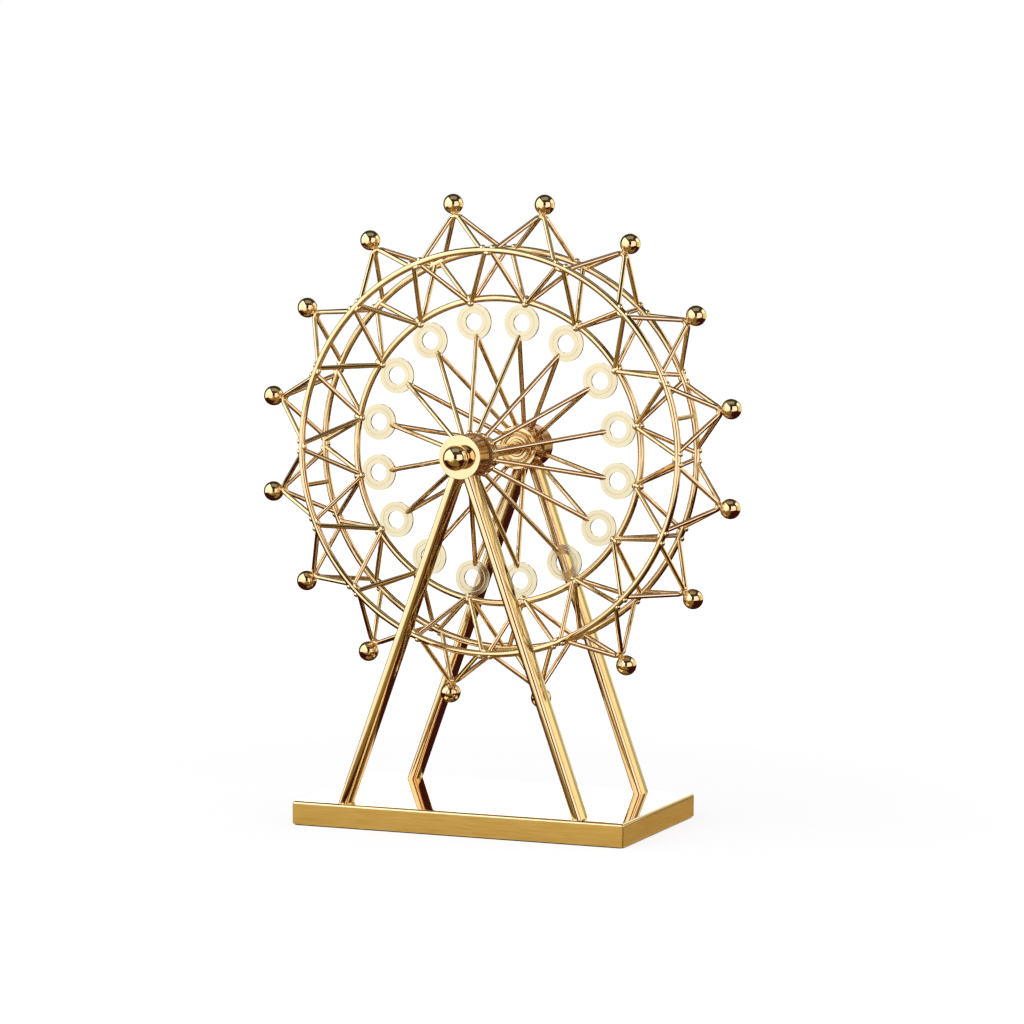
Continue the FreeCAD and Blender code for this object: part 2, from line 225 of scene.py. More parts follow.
# %% [markdown]
# ## The gilding
#
# The whole ornament is plated in one bath, so one recipe makes every gold here and only a few numbers change.
# A metal shows its surroundings, and its own detail is in how it blurs and bends them: a long soft waviness from
# polishing, fine lines along the drawn wire, and patches that were wiped less. All of it is read from Object
# coordinates, which stay put on a piece. The tint varies a little, because plating is thinner in some places.

# %% The gold recipe
gold_deep = (0.84, 0.61, 0.31, 1)
gold_light = (0.89, 0.69, 0.39, 1)


def add_node(tree, kind, **settings):
    made = tree.nodes.new(kind)
    for name, value in settings.items():
        setattr(made, name, value)
    return made


def patches(tree, place, scale, detail=3.0):
    """Soft noise over the piece, from 0 to 1."""
    noise = add_node(tree, "ShaderNodeTexNoise")
    noise.inputs["Scale"].default_value = scale
    noise.inputs["Detail"].default_value = detail
    tree.links.new(place, noise.inputs["Vector"])
    return noise.outputs["Fac"]


def stretched(tree, place, scale):
    mapping = add_node(tree, "ShaderNodeMapping")
    mapping.inputs["Scale"].default_value = scale
    tree.links.new(place, mapping.inputs["Vector"])
    return mapping.outputs["Vector"]


def spread(tree, value, low, high):
    """Turns noise into a number between low and high."""
    band = add_node(tree, "ShaderNodeMapRange")
    band.inputs["From Min"].default_value = 0.3
    band.inputs["From Max"].default_value = 0.7
    band.inputs["To Min"].default_value = low
    band.inputs["To Max"].default_value = high
    tree.links.new(value, band.inputs["Value"])
    return band.outputs["Result"]


def blend(tree, factor, first, second):
    ramp = add_node(tree, "ShaderNodeValToRGB")
    ramp.color_ramp.elements[0].position = 0.3
    ramp.color_ramp.elements[1].position = 0.7
    ramp.color_ramp.elements[0].color = first
    ramp.color_ramp.elements[1].color = second
    tree.links.new(factor, ramp.inputs["Fac"])
    return ramp.outputs["Color"]


def relief(tree, height, strength, depth, under=None):
    """A bump of the given depth in metres, on top of another one."""
    bump = add_node(tree, "ShaderNodeBump")
    bump.inputs["Strength"].default_value = strength
    bump.inputs["Distance"].default_value = depth
    tree.links.new(height, bump.inputs["Height"])
    if under:
        tree.links.new(under, bump.inputs["Normal"])
    return bump.outputs["Normal"]


def new_finish(name):
    finish = bpy.data.materials.new(name)
    finish.use_nodes = True
    tree = finish.node_tree
    place = add_node(tree, "ShaderNodeTexCoord").outputs["Object"]
    return finish, tree, tree.nodes["Principled BSDF"], place


def gilding(
    name, gloss, grain=(1, 1, 1), grain_depth=0.0008, wave_depth=0.008, deep=gold_deep, light=gold_light, metal=1.0,
    streaks=60,
):
    """Gold plate. gloss is (smoothest, roughest), grain stretches the fine lines, depths are in millimetres."""
    finish, tree, shader, place = new_finish(name)
    shader.inputs["Metallic"].default_value = metal
    tint_place = place if streaks == 60 else stretched(tree, place, (1, 1, streaks))
    tint = blend(tree, patches(tree, tint_place, 60), deep, light)
    tree.links.new(tint, shader.inputs["Base Color"])
    tree.links.new(spread(tree, patches(tree, place, 220), *gloss), shader.inputs["Roughness"])
    wave = relief(tree, patches(tree, place, 90, 1.0), 0.5, wave_depth * mm)
    lines = patches(tree, stretched(tree, place, grain), 2500)
    tree.links.new(relief(tree, lines, 0.5, grain_depth * mm, wave), shader.inputs["Normal"])
    return finish


gold_mirror = gilding("mirror_gold", (0.03, 0.09))
gold_wire = gilding("drawn_wire_gold", (0.03, 0.08))
gold_bar = gilding("rolled_bar_gold", (0.08, 0.14), (1, 1, 0.05), 0.0008, 0.006)
gold_plate = gilding("mirror_plate_gold", (0.02, 0.05), wave_depth=0.0008)
gold_weld = gilding(
    "weld_gold", (0.10, 0.20), (1, 1, 1), 0.002, 0.05, (0.88, 0.70, 0.39, 1), (0.93, 0.78, 0.49, 1)
)
gold_turned = gilding("turned_gold", (0.08, 0.16))
# A darker, redder copy of the gold for the drums' rims: painted shade.
gold_rim_shaded = gilding(
    "shaded_turned_rim_gold", (0.17, 0.23), (1, 8, 1), 0.0004, 0.004, (0.58, 0.29, 0.07, 1), (0.66, 0.35, 0.10, 1)
)
# A darker, redder, half-diffuse copy of the gold for the faces in the narrow gap between two drums: painted shade of
# the gap.
gold_dull_shaded = gilding(
    "dull_shaded_gold", (0.35, 0.50), (1, 1, 1), 0.002, 0.004, (0.42, 0.20, 0.08, 1), (0.50, 0.26, 0.11, 1), metal=0.4
)
gold_pale = gilding(
    "pale_gold", (0.09, 0.14), (1, 0.1, 1), 0.001, 0.004, (0.66, 0.56, 0.355, 1), (0.72, 0.62, 0.41, 1)
)
print("golds:", [m.name for m in bpy.data.materials if "gold" in m.name])

# %% [markdown]
# ## The three wire rings
#
# Each ring is one drawn wire, rolled to a circle and closed by a butt weld that was filed almost flush. A torus
# primitive has that shape. The filed joint stays as a slight swelling: a few faces of the tube are picked by
# their angle round the axle and fattened a little.

# %% Rings
weld_half_angle = math.radians(0.9)
weld_swell = 0.12 * mm


def clock_angle(point):
    return math.atan2(point.x - axle.x, point.z - axle.z)


def wire_ring(radius, along, joint_angle):
    """A ring of wire whose butt weld lies at joint_angle, clockwise from the top."""
    nothing_selected()
    bpy.ops.mesh.primitive_torus_add(
        location=at(0, along, 0), rotation=(math.pi / 2, 0, 0), major_segments=192, minor_segments=20,
        major_radius=radius, minor_radius=ring_wire,
    )
    edit()
    pick("FACE", lambda centre, normal: abs(clock_angle(centre) - joint_angle) < weld_half_angle)
    bpy.ops.transform.shrink_fatten(value=weld_swell)
    return done()


for name, radius, along, joint_angle in (
    ("inner_ring", inner_ring_radius, 0, math.radians(100)),
    ("rim_front", rim_radius, -rim_place, math.radians(-145)),
    ("rim_back", rim_radius, rim_place, math.radians(35)),
):
    ring = wire_ring(radius, along, joint_angle)
    ring.name = "gilt_" + name
    finish_piece(ring, "wheel", "polished_gold", gold_wire, name)

# %% [markdown]
# ## Straight wires
#
# Spokes, web struts and rungs are straight cuts of the thin wire. Each is modelled once, in the sector that stands
# straight up, and copied round the axle. A spoke is cut off flush with its disc's face, which leaves a long oval
# end, so the cylinder is bisected there and filled.

# %% Spokes, struts and rungs
spoke_weld_inset = 2.0 * mm
spoke_weld_radius = 9.6 * mm
disc_band_middle = 7.95 * mm
disc_hole = 5.2 * mm
strut_beside = 1.6 * mm
strut_forward = 1.5 * mm
rung_steps = (3, 11)


def rod(start, end, sides=20):
    """A straight piece of the thin wire. Both its ends are buried in what they are welded to."""
    nothing_selected()
    bpy.ops.mesh.primitive_cylinder_add(
        vertices=sides, radius=thin_wire, depth=(end - start).length,
        location=(start + end) / 2, rotation=facing(start, end),
    )
    return done()


def spoke():
    foot = at(0, -hub_outer + spoke_weld_inset, drum_radius - 0.4 * mm)
    end = at(0, -disc_thickness / 2, disc_centre - spoke_weld_radius)
    overrun = (end - foot).normalized() * 4 * thin_wire
    wire = rod(foot, end + overrun)
    edit("SELECT")
    bpy.ops.mesh.bisect(
        plane_co=(0, -disc_thickness / 2, 0), plane_no=(0, 1, 0), clear_outer=True, use_fill=True
    )
    return done()


def strut():
    start = at(strut_beside, -strut_forward, inner_ring_radius)
    spread_angle = strut_beside / rim_radius
    return rod(start, on_circle(rim_radius, half_sector - spread_angle, -rim_place))


def left_to_right(pattern):
    copy = pattern.copy()
    copy.data = pattern.data.copy()
    bpy.context.collection.objects.link(copy)
    copy.data.transform(Matrix.Scale(-1, 4, Vector((1, 0, 0))))
    copy.data.flip_normals()
    return copy


front_spokes = joined(around(spoke(), sector_angles), "gilt_spokes_front")
back_spokes = to_the_back(front_spokes)
back_spokes.name = "gilt_spokes_back"
finish_piece(front_spokes, "wheel", "polished_gold", gold_wire, "spokes_front")
finish_piece(back_spokes, "wheel", "polished_gold", gold_wire, "spokes_back")

right_strut = strut()
front_pair = joined([left_to_right(right_strut), right_strut], "strut_pair")
sector_web = joined([to_the_back(front_pair), front_pair], "sector_web")
web = joined(around(sector_web, sector_angles), "gilt_web_struts")
finish_piece(web, "wheel", "polished_gold", gold_wire, "web_struts")

rung = rod(at(0, -rim_place, rim_radius), at(0, rim_place, rim_radius))
rungs = joined(around(rung, [half_sector + sector_angle * step for step in rung_steps]), "gilt_rim_rungs")
finish_piece(rungs, "wheel", "polished_gold", gold_wire, "rim_rungs")

# %% [markdown]
# ## The bent tips
#
# Under each tip ball two wires lie side by side. Each is one wire bent round a pin into a narrow V, with both legs
# welded to a rim. It is modelled as the bending is done: a circle is extruded up the first leg, spun round the
# pin, and extruded down the second leg.

# %% Tip vees
bend_radius = 3.2 * mm
leg_setback = 3.9 * mm
wire_play = 0.05 * mm
beside = thin_wire + wire_play
bend_steps = 10


def tip_vee():
    """The front V of the sector that stands straight up."""
    reach = ball_radius + thin_wire + wire_play
    apex = at(0, -beside, tip_radius - math.sqrt(reach ** 2 - beside ** 2))
    foot = on_circle(rim_radius, leg_setback / rim_radius - half_sector, -rim_place)
    outward = (apex - Vector((0, foot.y, foot.z))).normalized()
    pin = apex - outward * bend_radius
    to_foot = foot - pin
    swing = math.acos(bend_radius / to_foot.length)
    tilt = math.atan2(to_foot.dot(outward), -to_foot.x) + swing
    touch = pin + (Vector((-math.cos(tilt), 0, 0)) + outward * math.sin(tilt)) * bend_radius
    far_foot = Vector((-foot.x, foot.y, foot.z))
    far_touch = Vector((-touch.x, touch.y, touch.z))
    nothing_selected()
    bpy.ops.mesh.primitive_circle_add(
        vertices=16, radius=thin_wire, location=foot, rotation=facing(foot, touch), fill_type="NGON"
    )
    edit("SELECT")
    bpy.ops.mesh.extrude_region_move(TRANSFORM_OT_translate={"value": touch - foot})
    bpy.ops.mesh.spin(
        steps=bend_steps, angle=math.pi - 2 * tilt, center=pin, axis=Vector((1, 0, 0)).cross(outward)
    )
    bpy.ops.mesh.extrude_region_move(TRANSFORM_OT_translate={"value": far_foot - far_touch})
    bpy.ops.mesh.select_all(action="SELECT")
    bpy.ops.mesh.remove_doubles(threshold=0.001 * mm)
    bpy.ops.mesh.normals_make_consistent(inside=False)
    return done()


vee = tip_vee()
front_vees = joined(around(vee, sector_angles), "gilt_tip_vees_front")
back_vees = to_the_back(front_vees)
back_vees.name = "gilt_tip_vees_back"
finish_piece(front_vees, "wheel", "polished_gold", gold_wire, "tip_vees_front")
finish_piece(back_vees, "wheel", "polished_gold", gold_wire, "tip_vees_back")

# %% [markdown]
# ## Tip balls
#
# Bought steel balls, plated with the rest. Each has a small ground seat below, where the two wires are welded on.
# A sphere primitive is bisected at the seat. The sphere's pole points away from the axle, so its rings of faces
# lie round the same line as the seat.

# %% Tip balls
seat_depth = 0.12 * mm


def tip_ball():
    nothing_selected()
    bpy.ops.mesh.primitive_uv_sphere_add(segments=48, ring_count=32, radius=ball_radius, location=at(0, 0, tip_radius))
    edit("SELECT")
    bpy.ops.mesh.bisect(
        plane_co=at(0, 0, tip_radius - ball_radius + seat_depth), plane_no=(0, 0, 1), clear_inner=True, use_fill=True
    )
    return done()


for number, ball in enumerate(around(tip_ball(), sector_angles), 1):
    ball.name = f"gilt_tip_ball_{number:02d}"
    finish_piece(ball, "wheel", "polished_gold", gold_mirror, f"tip_ball_{number:02d}")

# %% [markdown]
# ## Ring discs
#
# Flat washers, turned on a lathe with a fine ring line on each face, and hung in the wheel's middle plane. A
# turned piece is modelled as the lathe makes it: one point is extruded along the outline, the outline is spun
# round the axis, and the sharp corners get a small bevel, because no real edge is sharp.

# %% A lathe, and the discs
disc_line_half = 0.25 * mm
disc_line_depth = 0.2 * mm
disc_edge = 0.15 * mm


def lathe(outline, centre=axle, steps=96, edge=0.0):
    """A turned piece. The outline is a list of (place along the axis, radius), and edge is the bevel's width."""
    points = [centre + Vector((0, place, radius)) for place, radius in outline]
    nothing_selected()
    bpy.ops.mesh.primitive_plane_add(size=mm, location=points[0])
    edit("SELECT")
    bpy.ops.mesh.merge(type="CENTER")
    for start, end in zip(points, points[1:] + points[:1]):
        bpy.ops.mesh.extrude_region_move(TRANSFORM_OT_translate={"value": end - start})
    bpy.ops.mesh.select_all(action="SELECT")
    bpy.ops.mesh.remove_doubles(threshold=0.001 * mm)
    bpy.ops.mesh.select_all(action="SELECT")
    bpy.ops.mesh.spin(steps=steps, angle=math.tau, center=centre, axis=(0, 1, 0))
    bpy.ops.mesh.select_all(action="SELECT")
    bpy.ops.mesh.remove_doubles(threshold=0.001 * mm)
    bpy.ops.mesh.normals_make_consistent(inside=False)
    if edge:
        bpy.ops.mesh.select_mode(type="EDGE")
        bpy.ops.mesh.select_all(action="DESELECT")
        bpy.ops.mesh.edges_select_sharp(sharpness=math.radians(60))
        bpy.ops.mesh.bevel(offset=edge, segments=3, profile=0.5)
    return done()


def ring_disc():
    face = disc_thickness / 2
    floor = face - disc_line_depth
    near, far = disc_band_middle - disc_line_half, disc_band_middle + disc_line_half
    return lathe([
        (-face, disc_hole), (-face, near), (-floor, near), (-floor, far), (-face, far), (-face, disc_radius),
        (face, disc_radius), (face, far), (floor, far), (floor, near), (face, near), (face, disc_hole),
    ], at(0, 0, disc_centre), 64, disc_edge / 3)


for number, disc in enumerate(around(ring_disc(), sector_angles), 1):
    disc.name = f"gilt_ring_disc_{number:02d}"
    finish_piece(disc, "wheel", "polished_gold", gold_pale, f"ring_disc_{number:02d}")

# %% [markdown]
# ## Weld beads
#
# The wires are joined with small drops of weld metal and plated afterwards, so a joint looks like a wet drop of
# gold. Each kind of drop is one icosphere, squashed, and made uneven by moving its points a little. They are
# repeated often, so each drop has only a few dozen faces.

# %% Beads on the wheel
bead_unevenness = 0.16 * mm


def bead(centre, half_sizes, seed):
    """A drop of weld metal. half_sizes are along the ring, along the axle and outwards, in millimetres."""
    nothing_selected()
    bpy.ops.mesh.primitive_ico_sphere_add(subdivisions=2, radius=mm, location=centre)
    edit("SELECT")
    bpy.ops.transform.resize(value=half_sizes)
    bpy.ops.transform.vertex_random(offset=bead_unevenness, seed=seed)
    return done()


def beads_around(name, patterns, angles):
    beads = [copy for pattern in patterns for copy in around(pattern, angles)]
    return finish_piece(joined(beads, name), "wheel", "polished_gold", gold_weld)


between_sectors = [sector_angle * n for n in range(sectors)]
tip_foot = tip_radius - ball_radius - thin_wire
spoke_end = disc_centre - spoke_weld_radius
beads_around("tip_weld_beads", [bead(at(0, 0, tip_foot + 0.9 * mm), (2.1, 2.5, 1.5), 1)], sector_angles)
disc_top = disc_centre + disc_radius
beads_around("ring_weld_beads", [
    bead(at(0, 0, inner_ring_radius + 0.4 * mm), (2.4, 2.7, 3.4), 2),
    bead(at(0, -0.3 * mm, disc_top + 0.3 * mm), (2.3, 2.3, 2.2), 6),
], sector_angles)
beads_around("rim_weld_beads", [
    bead(on_circle(rim_radius + out * mm, turn * mm / rim_radius, side * (rim_place + 0.2 * mm)), size, 3)
    for side in (-1, 1)
    for turn, out, size in ((-3.1, 1.5, (1.9, 1.9, 1.7)), (3.1, 1.5, (1.9, 1.9, 1.7)), (0, -1.7, (2.9, 1.9, 1.6)))
], between_sectors)
beads_around("hub_weld_beads", [
    bead(at(0, side * (hub_outer - spoke_weld_inset), drum_radius + 0.3 * mm), (2.1, 2.2, 1.5), 4) for side in (-1, 1)
], sector_angles)
beads_around("spoke_weld_beads", [
    bead(at(0, side * (disc_thickness / 2 + 0.3 * mm), spoke_end - 0.4 * mm), (1.8, 1.0, 2.1), 5) for side in (-1, 1)
], sector_angles)

# %% [markdown]
# ## Hub drums and bearings
#
# Two thick turned rings carry the spokes. Each takes a ball bearing from its inner side, against a shoulder, and
# the mouth of that seat is chamfered so that the bearing goes in.

# %% Hub drums
hub_bore = 6.0 * mm
bearing_seat = 9.55 * mm
bearing_depth = 6.05 * mm
seat_mouth = 0.9 * mm
drum_edge = 0.3 * mm


def shade_rim_and_gap(drum, hidden_place):
    """Darker, redder gold on the rim, with the lathe's soft lines, and dull darker gold in the gap between drums:
    painted shade.
    """
    drum.data.materials.append(gold_rim_shaded)
    drum.data.materials.append(gold_dull_shaded)
    for face in drum.data.polygons:
        if abs(face.normal.y) < 0.1:
            face.material_index = 1
        elif abs(abs(face.center.y) - hidden_place) < drum_edge / 2:
            face.material_index = 2


def hub_drum():
    seat_end = hub_inner + bearing_depth
    return lathe([
        (-hub_outer, hub_bore), (-hub_outer, drum_radius), (-hub_inner, drum_radius),
        (-hub_inner, bearing_seat + seat_mouth), (-hub_inner - seat_mouth, bearing_seat),
        (-seat_end, bearing_seat), (-seat_end, hub_bore),
    ], edge=drum_edge)


front_drum = hub_drum()
back_drum = to_the_back(front_drum)
for drum, side in ((front_drum, "front"), (back_drum, "back")):
    drum.name = f"gilt_hub_drum_{side}"
    finish_piece(drum, "wheel", "polished_gold", gold_mirror, f"hub_drum_{side}")
    shade_rim_and_gap(drum, hub_outer)

# %% [markdown]
# ## Bearing rings and shields
#
# A ball bearing is two hard rings with rounded corners, and on each face a thin pressed shield that is held in the
# outer ring. The shield's rim lies near the face and its middle is pressed inwards, which gives the fine
# concentric steps between the drum and the axle. All three are turned shapes, and the balls run in a groove in each
# ring. The balls behind the shields are right as measured, so they stay.

# %% Bearings
axle_radius = 3.5 * mm
bearing_width = 6.0 * mm
inner_land = 5.4 * mm
outer_land = 8.1 * mm
bearing_outside = 9.5 * mm
ring_corner = 0.45 * mm
shield_rim = (7.75 * mm, 8.05 * mm)
shield_dish = (5.6 * mm, 6.9 * mm)
shield_sheet = 0.25 * mm
shield_insets = (0.15 * mm, 0.9 * mm)
bearing_middle = -hub_inner - bearing_width / 2
ball_pitch = 6.75 * mm
groove_radius = 1.8 * mm
groove_steps = 8


def groove(land):
    """The outline of the groove in a ring's land, an arc round the balls' centres."""
    side = 1 if land > ball_pitch else -1
    half = math.acos(abs(land - ball_pitch) / groove_radius)
    turns = [half * (2 * n / groove_steps - 1) for n in range(groove_steps + 1)]
    return [
        (bearing_middle + groove_radius * math.sin(turn), ball_pitch + side * groove_radius * math.cos(turn))
        for turn in turns
    ]


def bearing_ring(back, land):
    """A ring between two radii. The land is the one that faces the balls."""
    near, far = -hub_inner, -hub_inner - bearing_width
    return lathe([(far, back), (far, land)] + groove(land) + [(near, land), (near, back)], edge=ring_corner)


def bearing_shield():
    """The shield on the side of the wheel's middle."""
    rim, dish = [-hub_inner - inset for inset in shield_insets]
    return lathe([
        (rim, shield_rim[1]), (rim, shield_rim[0]), (dish, shield_dish[1]), (dish, shield_dish[0]),
        (dish - shield_sheet, shield_dish[0]), (dish - shield_sheet, shield_dish[1]),
        (rim - shield_sheet, shield_rim[0]), (rim - shield_sheet, shield_rim[1]),
    ], edge=0.06 * mm)


def outer_side(shield):
    """The same shield turned round on the bearing's other face."""
    copy = shield.copy()
    copy.data = shield.data.copy()
    bpy.context.collection.objects.link(copy)
    copy.data.transform(Matrix.Translation((0, 2 * bearing_middle, 0)) @ Matrix.Scale(-1, 4, Vector((0, 1, 0))))
    copy.data.flip_normals()
    return copy


def both_sides(front, name):
    return joined([front, to_the_back(front)], name)


inner_shield = bearing_shield()
inner_rings = both_sides(bearing_ring(axle_radius, inner_land), "gilt_bearing_inner_rings")
outer_rings = both_sides(bearing_ring(bearing_outside, outer_land), "gilt_bearing_outer_rings")
shields = both_sides(joined([inner_shield, outer_side(inner_shield)], "shields"), "gilt_bearing_shields")
finish_piece(inner_rings, "stand", "polished_gold", gold_turned, "bearing_inner_rings")
finish_piece(outer_rings, "wheel", "polished_gold", gold_turned, "bearing_outer_rings")
finish_piece(shields, "wheel", "polished_gold", gold_turned, "bearing_shields")

# %% [markdown]
# ## Frame drums, axle and ball nuts
#
# A frame drum is a short turned bar, bored for the axle. The axle is a plain rod with a thinner stud at each end,
# and a ball nut clamps each end. The nut is outlined as an arc from its flat seat to its tip.

# %% Turned pieces of the frames
stud_radius = 3.0 * mm
stud_length = 7.5 * mm
stud_edge = 0.4 * mm
spacer_radius = half_size("axle_spacers").x
nut_radius = half_size("ball_nut_front").x
nut_flat = 4.5 * mm
nut_steps = 28


def frame_drum():
    return lathe([
        (-frame_outer, axle_radius), (-frame_outer, drum_radius), (-frame_inner, drum_radius),
        (-frame_inner, axle_radius),
    ], edge=drum_edge)


def ball_nut():
    """Its outline runs from the seat's edge round the ball to the tip, then back along the axis and the hole."""
    centre = -frame_outer - math.sqrt(nut_radius ** 2 - nut_flat ** 2)
    start = math.asin(nut_flat / nut_radius)
    angles = [start + (math.pi - start) * n / nut_steps for n in range(nut_steps)]
    arc = [(centre + nut_radius * math.cos(a), nut_radius * math.sin(a)) for a in angles]
    hole_end = -frame_outer - stud_length - stud_edge
    return lathe(arc + [
        (centre - nut_radius, 0), (hole_end, 0), (hole_end, stud_radius), (-frame_outer, stud_radius),
    ])


def plain_axle():
    shoulder, end = frame_outer - stud_edge, frame_outer + stud_length
    return lathe([
        (-end, 0), (-end, stud_radius), (-shoulder, stud_radius), (-shoulder, axle_radius),
        (shoulder, axle_radius), (shoulder, stud_radius), (end, stud_radius), (end, 0),
    ], edge=0.2 * mm)


def spacer():
    return lathe([
        (-frame_inner, axle_radius), (-frame_inner, spacer_radius),
        (-hub_inner - bearing_depth, spacer_radius), (-hub_inner - bearing_depth, axle_radius),
    ], edge=0.2 * mm)


for make, node, material in ((frame_drum, "frame_drum", gold_mirror), (ball_nut, "ball_nut", gold_mirror)):
    front = make()
    back = to_the_back(front)
    for piece, side in ((front, "front"), (back, "back")):
        piece.name = f"gilt_{node}_{side}"
        finish_piece(piece, "stand", "polished_gold", material, f"{node}_{side}")
        if node == "frame_drum":
            shade_rim_and_gap(piece, frame_inner)

shaft = plain_axle()
shaft.name = "gilt_axle"
finish_piece(shaft, "stand", "polished_gold", gold_turned, "axle")
front_spacer = spacer()
spacers = both_sides(front_spacer, "gilt_axle_spacers")
finish_piece(spacers, "stand", "polished_gold", gold_turned, "axle_spacers")

# %% [markdown]
# ## Legs
#
# Four flat bars. Rolling and polishing have rounded their edges and crowned their faces, so what they mirror is
# drawn out into soft bands. The section is a chain of eight arcs that run smoothly into each other: a shallow one
# on each face and a tight one at each corner. One point is spun from arc to arc, the closed outline is filled and
# extruded upwards, and the bar leans over to aim at the axle. Its foot is cut level with the base, and a Boolean
# modifier cuts its top to the curve of the drum.

# %% Legs
leg_width = 6.2 * mm
leg_corner = 2.2 * mm
narrow_crown = math.radians(14)
broad_crown = math.radians(9)
foot_reach = 73.15 * mm
tenon = Vector((2.6, 8.0, 6.0)) * mm


def cutter(shape):
    """A helper body that is only there to be cut away."""
    shape.name = "cutter"
    return shape


def cut_away(piece, tool):
    nothing_selected()
    piece.select_set(True)
    bpy.context.view_layer.objects.active = piece
    trim = piece.modifiers.new("trim", "BOOLEAN")
    trim.operation = "DIFFERENCE"
    trim.solver = "EXACT"
    trim.object = tool
    bpy.ops.object.modifier_apply(modifier=trim.name)
    bpy.data.objects.remove(tool)
    return piece


def block(low, high):
    nothing_selected()
    bpy.ops.mesh.primitive_cube_add(size=1, location=(low + high) / 2, scale=high - low)
    return done()


def crowned_bar(half_width, half_depth, centre, height):
    """An upright bar whose section is eight arcs. A crown is the angle an arc turns from a face's middle to its end."""
    sine, cosine = math.sin(narrow_crown), math.cos(narrow_crown)
    broad_sine, broad_cosine = math.sin(broad_crown), math.cos(broad_crown)
    inner_width, inner_depth = half_width - leg_corner, half_depth - leg_corner
    scale = sine * broad_sine - (1 - cosine) * (1 - broad_cosine)
    narrow = (inner_width * broad_sine - inner_depth * (1 - broad_cosine)) / scale
    broad = (inner_depth * sine - inner_width * (1 - cosine)) / scale
    corner = Vector((narrow * sine, -broad * broad_sine, 0))
    narrow_pin = Vector((0, half_depth - narrow - leg_corner, 0))
    broad_pin = Vector((half_width - broad - leg_corner, 0, 0))
    corner_turn = math.pi / 2 - narrow_crown - broad_crown
    arcs = [
        (-narrow_pin, narrow_crown, 5), (corner, corner_turn, 5), (broad_pin, 2 * broad_crown, 8),
        (Vector((corner.x, -corner.y, 0)), corner_turn, 5), (narrow_pin, 2 * narrow_crown, 10),
        (-corner, corner_turn, 5), (-broad_pin, 2 * broad_crown, 8),
        (Vector((-corner.x, corner.y, 0)), corner_turn, 5), (-narrow_pin, narrow_crown, 5),
    ]
    nothing_selected()
    bpy.ops.mesh.primitive_plane_add(size=mm, location=centre - Vector((0, half_depth, 0)))
    edit("SELECT")
    bpy.ops.mesh.merge(type="CENTER")
    for pin, turn, steps in arcs:
        bpy.ops.mesh.spin(steps=steps, angle=turn, center=centre + pin, axis=(0, 0, -1))
    bpy.ops.mesh.select_all(action="SELECT")
    bpy.ops.mesh.remove_doubles(threshold=0.001 * mm)
    bpy.ops.mesh.select_all(action="SELECT")
    bpy.ops.mesh.edge_face_add()
    bpy.ops.mesh.extrude_region_move(TRANSFORM_OT_translate={"value": (0, 0, height)})
    bpy.ops.mesh.select_all(action="SELECT")
    bpy.ops.mesh.normals_make_consistent(inside=False)
    return done()


def leg():
    """The front right leg."""
    rise = axle.z - base_top
    length = math.hypot(rise, foot_reach)
    lean = math.atan2(foot_reach, rise)
    depth = frame_outer - frame_inner
    underneath = Vector((0, -frame_inner - depth / 2, axle.z - length - leg_width))
    bar = crowned_bar(leg_width / 2, depth / 2, underneath, length + leg_width)
    turn = Matrix.Translation(axle) @ Matrix.Rotation(-lean, 4, "Y") @ Matrix.Translation(-axle)
    bar.data.transform(turn)
    edit("SELECT")
    bpy.ops.mesh.bisect(plane_co=(0, 0, base_top), plane_no=(0, 0, 1), clear_inner=True, use_fill=True)
    done()
    nothing_selected()
    bpy.ops.mesh.primitive_cylinder_add(
        vertices=192, radius=drum_radius, depth=4 * (frame_outer - frame_inner),
        location=axle - Vector((0, (frame_outer + frame_inner) / 2, 0)), rotation=(math.pi / 2, 0, 0),
    )
    cut_away(bar, cutter(done()))
    foot = Vector((foot_reach, -(frame_outer + frame_inner) / 2, base_top))
    peg = block(foot - tenon / 2 - Vector((0, 0, tenon.z / 2)), foot + Vector((tenon.x, tenon.y, 0)) / 2)
    return joined([bar, peg], "leg")


front_right = leg()
front_left = left_to_right(front_right)
for piece, side in ((front_right, "right"), (front_left, "left")):
    back = to_the_back(piece)
    back.name = f"gilt_leg_back_{side}"
    piece.name = f"gilt_leg_front_{side}"
    finish_piece(back, "stand", "polished_gold", gold_bar, f"leg_back_{side}")
    finish_piece(piece, "stand", "polished_gold", gold_bar, f"leg_front_{side}")

# %% [markdown]
# ## The base cover
#
# One sheet folded down on four sides over a fibre board. Its bends are soft, and at each upright corner the two
# folded sides meet in a narrow open seam. The cube loses its underside, its upright and top edges are bevelled to
# the bends, and Solidify gives it the sheet's thickness inwards. The seams and the slots for the legs' tenons are
# cut with Boolean modifiers. The top is first divided into fields round the slots, because a mirror shows every
# long thin splinter that a Boolean would leave on one large face.

# %% Base cover
sheet = 1.2 * mm
sheet_bend = 1.6 * mm
corner_bend = 1.4 * mm
seam = 0.6 * mm
slot_play = 0.15 * mm
slot_field = Vector((5.0, 7.0)) * mm
foot_along = (frame_outer + frame_inner) / 2


def corner_seam(side_x, side_y, corner, height):
    """A thin slanted body along the mitre between two folded sides."""
    nothing_selected()
    bpy.ops.mesh.primitive_cube_add(
        size=1, scale=(4 * sheet, seam, height), rotation=(0, 0, math.radians(45) * side_x * side_y),
        location=corner + Vector((0, 0, height / 2)),
    )
    return cutter(done())


